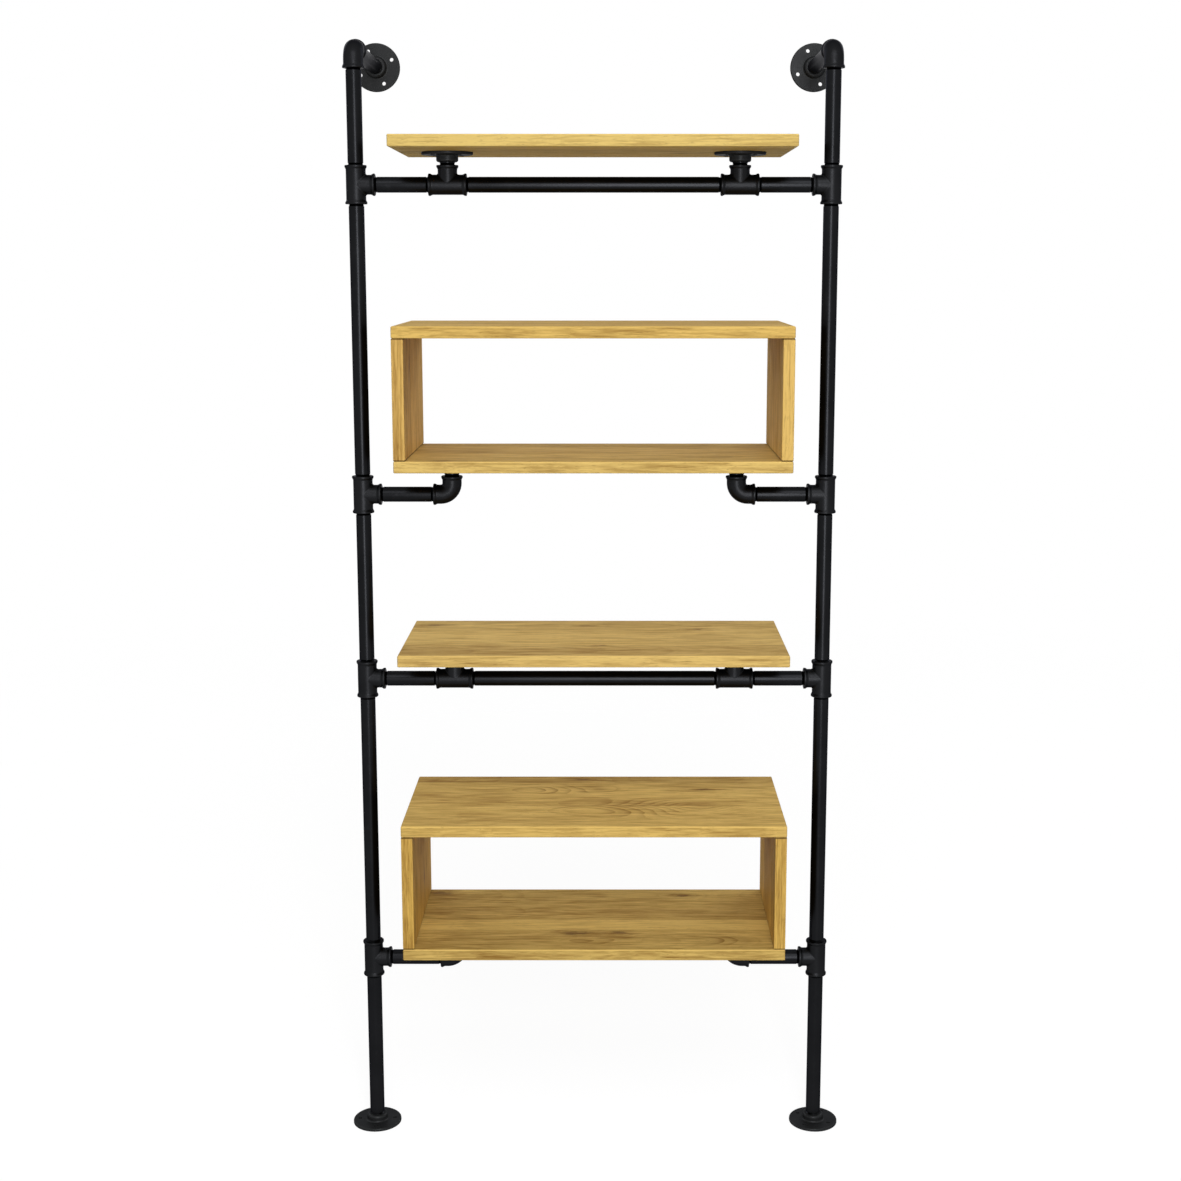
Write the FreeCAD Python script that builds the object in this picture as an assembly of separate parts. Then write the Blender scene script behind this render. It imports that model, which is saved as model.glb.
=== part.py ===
# Pipe shelving unit: two threaded-pipe posts stand on floor flanges, are braced to a wall at the
# top, and carry two plain shelves on pipe rails and two open boxes on pipe arms.
# Millimetres. +X runs along the shelves, +Y points to the wall and +Z is up. The origin is on the
# floor, below the middle of the unit's outline in plan.
import FreeCAD, Part
import math
import os

Vector = FreeCAD.Vector

# Layout from the floor up: each height or headroom ends at the axis of the pipes above it
lower_arm_height = 325.0
lower_box_headroom_height = 229.0
middle_shelf_headroom_height = 260.0
upper_box_headroom_height = 237.0
top_shelf_headroom_height = 153.0
# Layout in plan: from the posts to the wall, from the boards' ends to the posts, and from the
# boards' ends in to the axes of what carries them
wall_reach_length = 300.0
post_gap = 59.55
support_inset = 85.0

# Boards: shelves and box walls are cut from the same edge-glued stock
board_length = 674.0
board_depth = 300.0
board_thickness = 20.0
board_edge_radius = 2.2
box_height = 246.0

# Pipe: three-quarter inch, with a short stretch of thread left in sight beside each fitting
pipe_diameter = 26.9
pipe_wall_thickness = 2.65
pipe_chamfer_length = 1.0
thread_diameter = 26.4
thread_depth = 1.0
thread_pitch = 1.814
thread_length = 14.0
thread_clearance = 0.05
exposed_turns = 2

# Tees and elbows: malleable iron, flared to a rounded bead round every mouth. A leg is measured from
# the fitting's centre to its mouth.
leg_length = 33.0
fitting_diameter = 34.2
branch_diameter_share = 0.98
fitting_bore_diameter = 22.0
socket_relief_depth = 1.0
bead_diameter = 38.0
bead_width = 3.2
bead_flare_length = 3.4
bead_edge_radius = 1.2
bead_root_radius = 5.0
tee_saddle_radius = 3.0
elbow_inner_radius = 3.0

# Flanges: round plate with a threaded hub
flange_diameter = 89.0
flange_thickness = 5.0
flange_edge_radius = 2.0
hub_diameter = 38.0
hub_edge_radius = 4.0
hub_root_radius = 3.0
flange_height = 17.0
flange_thread_length = 13.0
flange_hole_circle_diameter = 65.0
flange_hole_diameter = 7.0
flange_hole_count = 4
# Degrees by which each flange has come to rest, turned on its thread
floor_flange_turns = {"left": 3.0, "right": -35.0}
wall_flange_turns = {"left": 26.0, "right": 22.0}
board_flange_turn = 45.0

# Nipples: the thread in sight between a fitting's outlet and the flange above it
riser_gap = 5.0

# Wood screws that hold the flanges to the boards, with heads that sink into the flanges' holes
screw_diameter = 4.5
screw_clearance = 0.05
screw_bite_share = 0.65
screw_tip_length = 4.0
screw_head_diameter = 8.8
screw_slot_length = 4.8
screw_slot_width = 1.1
screw_slot_depth = 1.0

# Dowels that join the box walls
dowel_diameter = 8.0
dowel_clearance = 0.1
dowel_chamfer_length = 0.8
dowel_end_gap = 1.0
dowel_side_depth = 24.0
dowel_board_share = 0.6
dowel_row_shares = (-0.36, 0.0, 0.36)

# How far a cutting tool runs past the face that it opens
overrun = 2.0

x_axis = Vector(1, 0, 0)
y_axis = Vector(0, 1, 0)
z_axis = Vector(0, 0, 1)
sides = {"left": -1, "right": 1}

# A board's underside lies this far above the axis of the pipe that carries it
board_rise = leg_length + riser_gap + flange_height
side_height = box_height - 2 * board_thickness
post_spacing = board_length + 2 * post_gap + pipe_diameter
support_spacing = board_length - 2 * support_inset
# The posts' plane, set so that the wall and the boards' front edges lie equally far from the origin
post_y = (board_depth / 2 - wall_reach_length) / 2

# Heights of the pipe axes above the floor
lower_box_level = lower_arm_height
middle_shelf_level = lower_box_level + board_rise + box_height + lower_box_headroom_height
upper_box_level = middle_shelf_level + board_rise + board_thickness + middle_shelf_headroom_height
top_shelf_level = upper_box_level + board_rise + box_height + upper_box_headroom_height
wall_brace_level = top_shelf_level + board_rise + board_thickness + top_shelf_headroom_height
shelf_levels = {"middle_shelf": middle_shelf_level, "top_shelf": top_shelf_level}
box_levels = {"lower_box": lower_box_level, "upper_box": upper_box_level}
levels = sorted({**shelf_levels, **box_levels}.items(), key=lambda item: item[1])


def rounded_outline(corners):
    """Closed wire in the XZ plane through corners given as (x, z) or (x, z, corner radius)."""
    points = [Vector(corner[0], 0, corner[1]) for corner in corners]
    turns = []
    for index, corner in enumerate(corners):
        here = points[index]
        radius = corner[2] if len(corner) > 2 else 0
        if not radius:
            turns.append((here, None, here))
            continue
        towards_last = (points[index - 1] - here).normalize()
        towards_next = (points[(index + 1) % len(points)] - here).normalize()
        half_angle = towards_last.getAngle(towards_next) / 2
        inward = (towards_last + towards_next).normalize()
        tangent = radius / math.tan(half_angle)
        nearest = inward * (radius / math.sin(half_angle) - radius)
        turns.append((here + towards_last * tangent, here + nearest, here + towards_next * tangent))
    edges = []
    for index, (start, middle, end) in enumerate(turns):
        if middle:
            edges.append(Part.Arc(start, middle, end).toShape())
        edges.append(Part.LineSegment(end, turns[(index + 1) % len(turns)][0]).toShape())
    return Part.Wire(edges)


def spin(corners):
    """Solid of revolution about Z of an outline given as (radius, height) corners."""
    return Part.Face(rounded_outline(corners)).revolve(Vector(), z_axis, 360)


def placed(shape, at, x_direction, z_direction):
    """Copy of a shape, moved so that its own X and Z axes point as told."""
    turned = FreeCAD.Rotation(x_direction, z_direction.cross(x_direction), z_direction, "ZXY")
    moved = shape.copy()
    moved.Placement = FreeCAD.Placement(at, turned)
    return moved


def thread_corners(start, turns):
    """Crests and roots of bare thread, upwards from a height."""
    crest = thread_diameter / 2
    corners = [(crest, start)]
    for turn in range(turns):
        corners.append((crest - thread_depth, start + (turn + 0.5) * thread_pitch))
        corners.append((crest, start + (turn + 1) * thread_pitch))
    return corners


def hollow_bar(outside, bottom, top):
    """Threaded tube between two heights, with chamfered ends, from the corners of its outside."""
    bore = pipe_diameter / 2 - pipe_wall_thickness
    crest = thread_diameter / 2
    first = [(bore, bottom), (crest - pipe_chamfer_length, bottom), (crest, bottom + pipe_chamfer_length)]
    last = [(crest, top - pipe_chamfer_length), (crest - pipe_chamfer_length, top), (bore, top)]
    return spin(first + outside + last)


def pipe_between(start, end, x_direction, start_grip, end_grip):
    """Pipe from the face of one fitting to the face of the next, screwed into both."""
    length = (end - start).Length
    bare = exposed_turns * thread_pitch
    outer = pipe_diameter / 2
    outside = thread_corners(0, exposed_turns) + [(outer, bare), (outer, length - bare)]
    outside += thread_corners(length - bare, exposed_turns)
    pipe = hollow_bar(outside, -start_grip, length + end_grip)
    return placed(pipe, start, x_direction, (end - start).normalize())


def nipple():
    """Short piece threaded all along, upwards from the face of the fitting that it stands in."""
    outside = thread_corners(0, int(riser_gap / thread_pitch))
    return hollow_bar(outside, -thread_length, riser_gap + flange_thread_length)


def leg(diameter, start):
    """One straight leg of a fitting along Z, from a height to its beaded mouth."""
    body = diameter / 2
    bead = bead_diameter / 2
    shoulder = leg_length - bead_width
    return spin([(0, start), (body, start), (body, shoulder - bead_flare_length, bead_root_radius),
                 (bead, shoulder, bead_edge_radius), (bead, leg_length, bead_edge_radius), (0, leg_length)])


def leg_bore(start):
    """Passage through one leg from a height, with the socket that takes the pipe's thread."""
    floor = leg_length - thread_length - socket_relief_depth
    mouth = leg_length + overrun
    passage = Part.makeCylinder(fitting_bore_diameter / 2, mouth - start, z_axis * start)
    socket = Part.makeCylinder(thread_diameter / 2 + thread_clearance, mouth - floor, z_axis * floor)
    return passage.fuse(socket)


def along(shape, z_direction):
    """Copy of a leg turned from Z to another axis of its fitting."""
    across = x_axis if z_direction.cross(x_axis).Length else z_axis
    return placed(shape, Vector(), across, z_direction)


def saddle_edges(shape):
    """Edges where cylinders with crossing axes meet."""
    found = []
    for edge in shape.Edges:
        surfaces = [face.Surface for face in shape.ancestorsOfType(edge, Part.Face)]
        if len(surfaces) == 2 and all(isinstance(surface, Part.Cylinder) for surface in surfaces):
            if round(surfaces[0].Axis.dot(surfaces[1].Axis)) == 0:
                found.append(edge)
    return found


def tee():
    """Tee with its run along Z and its outlet along +X."""
    run = leg(fitting_diameter, 0)
    outlet = leg(fitting_diameter * branch_diameter_share, 0)
    body = along(run, z_axis).fuse([along(run, -z_axis), along(outlet, x_axis)]).removeSplitter()
    body = body.makeFillet(tee_saddle_radius, saddle_edges(body))
    passage = leg_bore(0)
    return body.cut([along(passage, z_axis), along(passage, -z_axis), along(passage, x_axis)])


def bend(diameter, radius):
    """Quarter bend of round bar from +X to +Z, with its corner at the origin."""
    circle = Part.Circle(Vector(radius, 0, 0), x_axis, diameter / 2)
    return Part.Face(Part.Wire(circle.toShape())).revolve(Vector(radius, 0, radius), y_axis, 90)


def elbow():
    """Elbow with legs along +X and +Z."""
    radius = fitting_diameter / 2 + elbow_inner_radius
    straight = leg(fitting_diameter, radius)
    passage = leg_bore(radius)
    body = bend(fitting_diameter, radius).fuse([along(straight, x_axis), along(straight, z_axis)])
    bores = [bend(fitting_bore_diameter, radius), along(passage, x_axis), along(passage, z_axis)]
    return body.removeSplitter().cut(bores)


def hole_places(turn):
    """Centres of a flange's holes in its own XY plane."""
    places = []
    for index in range(flange_hole_count):
        angle = math.radians(turn + 360 * index / flange_hole_count)
        places.append(Vector(math.cos(angle), math.sin(angle), 0) * (flange_hole_circle_diameter / 2))
    return places


def flange(turn):
    """Flange with its flat back at height zero and its hub along +Z."""
    rim = flange_diameter / 2
    hub = hub_diameter / 2
    bore = thread_diameter / 2 + thread_clearance
    body = spin([(bore, 0), (rim, 0), (rim, flange_thickness, flange_edge_radius),
                 (hub, flange_thickness, hub_root_radius), (hub, flange_height, hub_edge_radius),
                 (bore, flange_height)])
    depth = flange_thickness + 2 * overrun
    holes = [Part.makeCylinder(flange_hole_diameter / 2, depth, place - z_axis * overrun)
             for place in hole_places(turn)]
    return body.cut(holes)


def screw():
    """Countersunk wood screw, point up, with the flange's face at height zero."""
    shank = screw_diameter / 2
    head = screw_head_diameter / 2
    bite = board_thickness * screw_bite_share
    neck = flange_thickness + bite - screw_tip_length
    seat = flange_hole_diameter / 2 - screw_clearance
    face = seat - head
    body = spin([(0, face), (head, face), (shank, seat - shank), (shank, neck),
                 (0, flange_thickness + bite)])
    slot = Part.makeBox(screw_slot_length, screw_slot_width, screw_slot_depth + overrun)
    slot.translate(Vector(-screw_slot_length / 2, -screw_slot_width / 2, face - overrun))
    return body.cut([slot, slot.rotated(Vector(), z_axis, 90)])


def screw_hole():
    """Pilot hole for a screw, in the screw's own frame."""
    radius = screw_diameter / 2 + screw_clearance
    return Part.makeCylinder(radius, flange_thickness + board_thickness * screw_bite_share)


def dowel():
    """Dowel standing on Z, with height zero at the joint and the side wall below it."""
    radius = dowel_diameter / 2
    bottom = dowel_end_gap - dowel_side_depth
    top = board_thickness * dowel_board_share - dowel_end_gap
    tip_radius = radius - dowel_chamfer_length
    return spin([(0, bottom), (tip_radius, bottom), (radius, bottom + dowel_chamfer_length),
                 (radius, top - dowel_chamfer_length), (tip_radius, top), (0, top)])


def dowel_hole():
    """Blind hole that takes a dowel in both boards, in the dowel's own frame."""
    radius = dowel_diameter / 2 + dowel_clearance
    depth = dowel_side_depth + board_thickness * dowel_board_share
    return Part.makeCylinder(radius, depth, Vector(0, 0, -dowel_side_depth))


def board(length, depth, thickness, bottom_centre):
    """Board with softened edges, standing on the given point."""
    block = Part.makeBox(length, depth, thickness)
    block.translate(bottom_centre - Vector(length / 2, depth / 2, 0))
    return block.makeFillet(board_edge_radius, block.Edges)


def side_point(sign, spacing, height):
    """Point in the posts' plane, half a spacing to one side."""
    return Vector(sign * spacing / 2, post_y, height)


def post(side):
    """One post: floor flange, pipes, tees, top elbow, wall pipe and wall flange."""
    sign = sides[side]
    inward = x_axis * -sign
    pieces = {f"{side}_floor_flange": flange(floor_flange_turns[side])}
    pieces[f"{side}_floor_flange"].translate(side_point(sign, post_spacing, 0))
    pipe_names = ("foot_pipe", "lower_pipe", "middle_pipe", "upper_pipe", "top_pipe")
    below = [flange_height] + [height + leg_length for _, height in levels]
    above = [height - leg_length for _, height in levels] + [wall_brace_level - leg_length]
    for index, name in enumerate(pipe_names):
        start = side_point(sign, post_spacing, below[index])
        end = side_point(sign, post_spacing, above[index])
        start_grip = thread_length if index else flange_thread_length
        pieces[f"{side}_{name}"] = pipe_between(start, end, x_axis, start_grip, thread_length)
    for level, height in levels:
        at = side_point(sign, post_spacing, height)
        pieces[f"{side}_{level}_post_tee"] = placed(tee(), at, inward, z_axis)
    corner = side_point(sign, post_spacing, wall_brace_level)
    wall_face = corner + y_axis * wall_reach_length
    pipe_start = corner + y_axis * leg_length
    pipe_end = wall_face - y_axis * flange_height
    pieces[f"{side}_top_elbow"] = placed(elbow(), corner, -z_axis, y_axis)
    brace = pipe_between(pipe_start, pipe_end, x_axis, thread_length, flange_thread_length)
    pieces[f"{side}_wall_pipe"] = brace
    pieces[f"{side}_wall_flange"] = placed(flange(wall_flange_turns[side]), wall_face, x_axis, -y_axis)
    return pieces


def arm_pipe(sign, height):
    """Pipe from a post's tee inwards to the fitting under the board."""
    outer_face = side_point(sign, post_spacing - 2 * leg_length, height)
    inner_face = side_point(sign, support_spacing + 2 * leg_length, height)
    return pipe_between(outer_face, inner_face, y_axis, thread_length, thread_length)


def shelf_frame(level, height):
    """Rail under a plain shelf: two arm pipes, two tees with their outlets up, and a middle pipe."""
    pieces = {}
    for side, sign in sides.items():
        at = side_point(sign, support_spacing, height)
        pieces[f"{level}_{side}_arm_pipe"] = arm_pipe(sign, height)
        pieces[f"{level}_{side}_rail_tee"] = placed(tee(), at, z_axis, x_axis)
    ends = [side_point(sign, support_spacing - 2 * leg_length, height) for sign in sides.values()]
    pieces[f"{level}_rail_pipe"] = pipe_between(ends[0], ends[1], y_axis, thread_length, thread_length)
    return pieces


def box_frame(level, height):
    """Two arms under a box, each an arm pipe and an elbow turned up."""
    pieces = {}
    for side, sign in sides.items():
        at = side_point(sign, support_spacing, height)
        pieces[f"{level}_{side}_arm_pipe"] = arm_pipe(sign, height)
        pieces[f"{level}_{side}_elbow"] = placed(elbow(), at, x_axis * sign, z_axis)
    return pieces


def flange_places(height):
    """Where the flat backs of the two flanges under a board meet it."""
    return [side_point(sign, support_spacing, height + board_rise) for sign in sides.values()]


def screw_places(height):
    """Seats of the screw heads under a board."""
    seats = []
    for centre in flange_places(height):
        seats += [centre + place - z_axis * flange_thickness for place in hole_places(board_flange_turn)]
    return seats


def copies(shape, places):
    """Copies of a shape, each moved to its own place."""
    return [shape.translated(place) for place in places]


def carried_board(height):
    """Board that rests on the flanges of one level, drilled for their screws."""
    underside = Vector(0, post_y, height + board_rise)
    plank = board(board_length, board_depth, board_thickness, underside)
    return plank.cut(copies(screw_hole(), screw_places(height)))


def dowel_places(sign, joint_height):
    """Where a side wall's dowels cross one of its joints."""
    across = Vector(sign * (board_length - board_thickness) / 2, post_y, joint_height)
    return [across + y_axis * (share * board_depth) for share in dowel_row_shares]


def box(level, height):
    """Open box of four boards, with a dowelled joint at every corner."""
    floor_top = height + board_rise + board_thickness
    lid_bottom = floor_top + side_height
    upper_dowel = dowel()
    lower_dowel = upper_dowel.rotated(Vector(), x_axis, 180)
    upper_hole = dowel_hole()
    lower_hole = upper_hole.rotated(Vector(), x_axis, 180)
    lid = board(board_length, board_depth, board_thickness, Vector(0, post_y, lid_bottom))
    floor = carried_board(height)
    pieces = {}
    dowels = []
    for side, sign in sides.items():
        holes = copies(upper_hole, dowel_places(sign, lid_bottom))
        holes += copies(lower_hole, dowel_places(sign, floor_top))
        foot = Vector(sign * (board_length - board_thickness) / 2, post_y, floor_top)
        wall = board(board_thickness, board_depth, side_height, foot)
        pieces[f"{level}_{side}_side"] = wall.cut(holes)
        lid = lid.cut(holes)
        floor = floor.cut(holes)
        dowels += copies(upper_dowel, dowel_places(sign, lid_bottom))
        dowels += copies(lower_dowel, dowel_places(sign, floor_top))
    pieces[f"{level}_top_board"] = lid
    pieces[f"{level}_bottom_board"] = floor
    pieces[f"{level}_dowels"] = Part.makeCompound(dowels)
    return pieces


def fasteners():
    """Groups of like pieces: nipples, flanges under the boards, and their screws."""
    inverted = placed(flange(board_flange_turn), Vector(), x_axis, -z_axis)
    groups = {"riser_nipples": [], "shelf_flanges": [], "box_flanges": [], "flange_screws": []}
    for level, height in levels:
        mouths = [side_point(sign, support_spacing, height + leg_length) for sign in sides.values()]
        flanges = "shelf_flanges" if level in shelf_levels else "box_flanges"
        groups["riser_nipples"] += copies(nipple(), mouths)
        groups[flanges] += copies(inverted, flange_places(height))
        groups["flange_screws"] += copies(screw(), screw_places(height))
    return {name: Part.makeCompound(shapes) for name, shapes in groups.items()}


def unit():
    """Every piece of the unit by name."""
    pieces = {}
    for side in sides:
        pieces.update(post(side))
    for level, height in shelf_levels.items():
        pieces.update(shelf_frame(level, height))
        pieces[f"{level}_board"] = carried_board(height)
    for level, height in box_levels.items():
        pieces.update(box_frame(level, height))
        pieces.update(box(level, height))
    pieces.update(fasteners())
    return pieces


def write(pieces):
    """Write one file for each piece."""
    os.makedirs("parts", exist_ok=True)
    for name, shape in pieces.items():
        shape.exportStep(f"parts/{name}.step")


write(unit())
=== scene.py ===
import math
from collections import namedtuple

import bpy
from bpy.props import FloatProperty, FloatVectorProperty, PointerProperty
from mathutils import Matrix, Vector


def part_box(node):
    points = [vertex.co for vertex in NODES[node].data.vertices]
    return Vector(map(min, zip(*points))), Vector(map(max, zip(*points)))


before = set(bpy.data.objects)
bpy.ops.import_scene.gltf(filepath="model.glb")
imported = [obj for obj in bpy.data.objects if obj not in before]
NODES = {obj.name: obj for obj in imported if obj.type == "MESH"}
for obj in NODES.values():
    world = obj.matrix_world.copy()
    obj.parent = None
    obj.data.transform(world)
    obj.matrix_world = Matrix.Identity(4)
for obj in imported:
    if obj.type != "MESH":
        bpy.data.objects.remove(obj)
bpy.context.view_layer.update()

bl_info = {
    "name": "Pipe shelving dresser",
    "version": (1, 0, 0),
    "blender": (4, 5, 0),
    "location": "View3D > Sidebar > Shelving",
    "description": "Finishes, studio light and camera for a pipe shelving unit",
    "category": "Object",
}

X, Y, Z = 0, 1, 2
IMAGE_SIDE = 1181
SENSOR_WIDTH = 36.0
WHITE = (1.0, 1.0, 1.0, 1.0)

# Sockets of the Mix node: its factor, its two colours and its result
MIX_FACTOR, MIX_FIRST, MIX_SECOND, MIX_RESULT = 0, 6, 7, 2

# Cloudy noise: features to the metre, levels of finer noise on them, and how strong each finer level is
Clouds = namedtuple("Clouds", "scale detail roughness")
# Noise drawn out along the grain: features to the metre along and across it, and its finer levels
Grain = namedtuple("Grain", "along across detail roughness", defaults=(2.0, 0.5))
# A soft light: where it stands, the point it is aimed at, and its width and height, in metres
Lamp = namedtuple("Lamp", "place target width height")

# Tint of each board, as shares of red, green and blue.
# Staves of each board, from its front edge to its back: where the stave ends as a share of the
# depth, its tone from light to dark, the share of the depth under which the heart of the tree
# lay, and how deep below the board that heart was, from near to far.
# Knots: share of the length, share of the depth, and radius in metres.
# Flames: share of the length, share of the depth, half length and half width in metres.
BOARDS = {
    "top_shelf_board": {
        "tint": (1.0, 1.04, 1.12),
        "staves": ((0.30, 0.31, 0.12, 0.45), (0.66, 0.46, 0.48, 0.70), (1.0, 0.38, 0.86, 0.35)),
        "knots": ((0.72, 0.60, 0.005),),
    },
    "upper_box_top_board": {
        "tint": (1.0, 0.96, 0.90),
        "staves": ((0.38, 0.395, 0.20, 0.40), (0.74, 0.53, 0.55, 0.75), (1.0, 0.42, 0.90, 0.30)),
        "knots": ((0.30, 0.85, 0.004),),
    },
    "upper_box_bottom_board": {
        "tint": (1.0, 1.0, 1.06),
        "staves": ((0.42, 0.40, 0.25, 0.80), (0.80, 0.46, 0.62, 0.60), (1.0, 0.50, 0.92, 0.40)),
        "knots": ((0.12, 0.04, 0.005),),
    },
    "middle_shelf_board": {
        "tint": (1.0, 0.99, 1.08),
        "staves": ((0.03, 0.26, 0.02, 0.70), (0.29, 0.62, 0.14, 0.80), (0.70, 0.34, 0.52, 0.50),
                   (1.0, 0.46, 0.84, 0.25)),
        "knots": ((0.06, 0.86, 0.006), (0.47, 0.84, 0.004), (0.78, 0.74, 0.005), (0.52, 0.28, 0.003)),
    },
    "lower_box_top_board": {
        "tint": (1.0, 0.97, 0.95),
        "staves": ((0.39, 0.41, 0.22, 0.20), (0.86, 0.48, 0.66, 0.70), (1.0, 0.86, 0.95, 0.80)),
        "knots": ((0.46, 0.93, 0.005), (0.80, 0.72, 0.004)),
        "flames": ((0.62, 0.36, 0.21, 0.075), (0.42, 0.72, 0.13, 0.040)),
    },
    "lower_box_bottom_board": {
        "tint": (1.0, 1.0, 1.0),
        "staves": ((0.31, 0.52, 0.14, 0.40), (0.47, 0.16, 0.40, 0.85), (0.74, 0.62, 0.60, 0.75),
                   (1.0, 0.56, 0.88, 0.60)),
        "knots": ((0.06, 0.93, 0.007), (0.745, 0.885, 0.005), (0.45, 0.26, 0.008), (0.565, 0.27, 0.006)),
        "flames": ((0.52, 0.16, 0.09, 0.040), (0.86, 0.14, 0.07, 0.030)),
    },
    "upper_box_left_side": {
        "tint": (1.0, 0.92, 0.90),
        "staves": ((0.34, 0.68, 0.12, 0.50), (0.70, 0.40, 0.55, 0.70), (1.0, 0.30, 0.90, 0.40)),
        "knots": ((0.75, 0.30, 0.004),),
    },
    "upper_box_right_side": {
        "tint": (1.0, 0.95, 0.94),
        "staves": ((0.40, 0.26, 0.24, 0.75), (0.78, 0.48, 0.60, 0.45), (1.0, 0.62, 0.88, 0.60)),
        "knots": (),
    },
    "lower_box_left_side": {
        "tint": (1.0, 0.91, 0.74),
        "staves": ((0.28, 0.50, 0.10, 0.60), (0.66, 0.64, 0.45, 0.40), (1.0, 0.52, 0.80, 0.75)),
        "knots": ((0.35, 0.60, 0.004),),
    },
    "lower_box_right_side": {
        "tint": (1.0, 0.92, 0.76),
        "staves": ((0.36, 0.44, 0.18, 0.40), (0.72, 0.56, 0.54, 0.65), (1.0, 0.46, 0.88, 0.50)),
        "knots": (),
    },
}


class PipeFinish(bpy.types.PropertyGroup):
    """Satin black coating of the pipes and nipples."""
    colour: FloatVectorProperty(
        name="Coat colour", description="Colour of the coating", subtype="COLOR", size=3,
        default=(0.0116, 0.0120, 0.0132), min=0.0, max=1.0)
    roughness: FloatProperty(
        name="Coat roughness", description="Roughness of the coating where it is smoothest",
        subtype="FACTOR", default=0.25, min=0.0, max=1.0)
    sheen: FloatProperty(
        name="Coat sheen", description="Share of the coating's light that is mirrored",
        subtype="FACTOR", default=0.96, min=0.0, max=1.0)
    peel_size: FloatProperty(
        name="Peel size", description="Width of a dimple of the coating's skin",
        unit="LENGTH", default=0.0022)
    peel_depth: FloatProperty(
        name="Peel depth", description="Depth of the dimples", unit="LENGTH", default=0.000015)


class FittingFinish(bpy.types.PropertyGroup):
    """Black coating over the sand-cast skin of tees, elbows and flanges."""
    colour: FloatVectorProperty(
        name="Cast colour", description="Colour of the coated casting", subtype="COLOR", size=3,
        default=(0.0140, 0.0144, 0.0156), min=0.0, max=1.0)
    roughness: FloatProperty(
        name="Cast roughness", description="Roughness of the casting where it is smoothest",
        subtype="FACTOR", default=0.30, min=0.0, max=1.0)
    sheen: FloatProperty(
        name="Cast sheen", description="Share of the casting's light that is mirrored",
        subtype="FACTOR", default=0.92, min=0.0, max=1.0)
    flange_colour: FloatVectorProperty(
        name="Flange colour", description="Colour of the paler coat on the flanges",
        subtype="COLOR", size=3, default=(0.0250, 0.0258, 0.0268), min=0.0, max=1.0)
    flange_sheen: FloatProperty(
        name="Flange sheen", description="Share of the flange's light that is mirrored",
        subtype="FACTOR", default=0.5, min=0.0, max=1.0)
    grain_size: FloatProperty(
        name="Sand grain", description="Width of a grain of the casting's skin",
        unit="LENGTH", default=0.0011)
    grain_depth: FloatProperty(
        name="Sand depth", description="Depth of the casting's skin", unit="LENGTH", default=0.00009)


class OakFinish(bpy.types.PropertyGroup):
    """Oiled, edge-glued oak."""
    light: FloatVectorProperty(
        name="Early wood", description="Colour of the light part of a growth ring",
        subtype="COLOR", size=3, default=(0.785, 0.546, 0.160), min=0.0, max=1.0)
    dark: FloatVectorProperty(
        name="Late wood", description="Colour of the dark part of a growth ring",
        subtype="COLOR", size=3, default=(0.310, 0.168, 0.036), min=0.0, max=1.0)
    pore: FloatVectorProperty(
        name="Pores", description="Colour inside the open pores", subtype="COLOR", size=3,
        default=(0.20, 0.105, 0.03), min=0.0, max=1.0)
    knot: FloatVectorProperty(
        name="Knots", description="Colour of the knots", subtype="COLOR", size=3,
        default=(0.150, 0.078, 0.024), min=0.0, max=1.0)
    ring_width: FloatProperty(
        name="Ring width", description="Thickness of one year's growth", unit="LENGTH", default=0.0055)
    roughness: FloatProperty(
        name="Oil roughness", description="Roughness of the oiled face",
        subtype="FACTOR", default=0.62, min=0.0, max=1.0)
    pore_depth: FloatProperty(
        name="Pore depth", description="Depth of the open pores", unit="LENGTH", default=0.00018)


class StudioLook(bpy.types.PropertyGroup):
    """Floor, light and camera."""
    floor_colour: FloatVectorProperty(
        name="Floor colour", description="Colour of the floor, apart from its own glow",
        subtype="COLOR", size=3, default=(0.15, 0.15, 0.15), min=0.0, max=1.0)
    floor_radius: FloatProperty(
        name="Floor radius", description="How far the floor reaches", unit="LENGTH", default=9.0)
    sky_light: FloatProperty(
        name="Sky light", description="Level of the light from above", default=0.42, min=0.0)
    low_light: FloatProperty(
        name="Low light", description="Level of the light from below", default=0.03, min=0.0)
    key_power: FloatProperty(
        name="Key light", description="Power of the soft light above the camera",
        unit="POWER", default=62.0)
    front_power: FloatProperty(
        name="Front light", description="Power of the upright soft light in front",
        unit="POWER", default=81.0)
    back_power: FloatProperty(
        name="Back lights", description="Power of each of the two soft lights behind",
        unit="POWER", default=42.0)
    focal_pixels: FloatProperty(
        name="Focal length", description="Focal length in pixels of the square picture", default=1727.8)
    camera_distance: FloatProperty(
        name="Camera distance", description="From the lens to the posts' plane",
        unit="LENGTH", default=3.0406)
    camera_height: FloatProperty(
        name="Camera height", description="Height of the lens above the floor",
        unit="LENGTH", default=1.5940)
    camera_side: FloatProperty(
        name="Camera side", description="How far right of the middle the lens is",
        unit="LENGTH", default=0.0290)
    camera_pitch: FloatProperty(
        name="Camera pitch", description="How far the lens looks down", subtype="ANGLE",
        default=math.radians(9.3))
    shift_x: FloatProperty(name="Shift across", description="Lens shift across", default=-0.0170)
    shift_y: FloatProperty(name="Shift up", description="Lens shift upwards", default=-0.0373)


class ShelvingLook(bpy.types.PropertyGroup):
    """All the settings of the dresser."""
    pipe: PointerProperty(type=PipeFinish)
    fitting: PointerProperty(type=FittingFinish)
    oak: PointerProperty(type=OakFinish)
    studio: PointerProperty(type=StudioLook)


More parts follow.
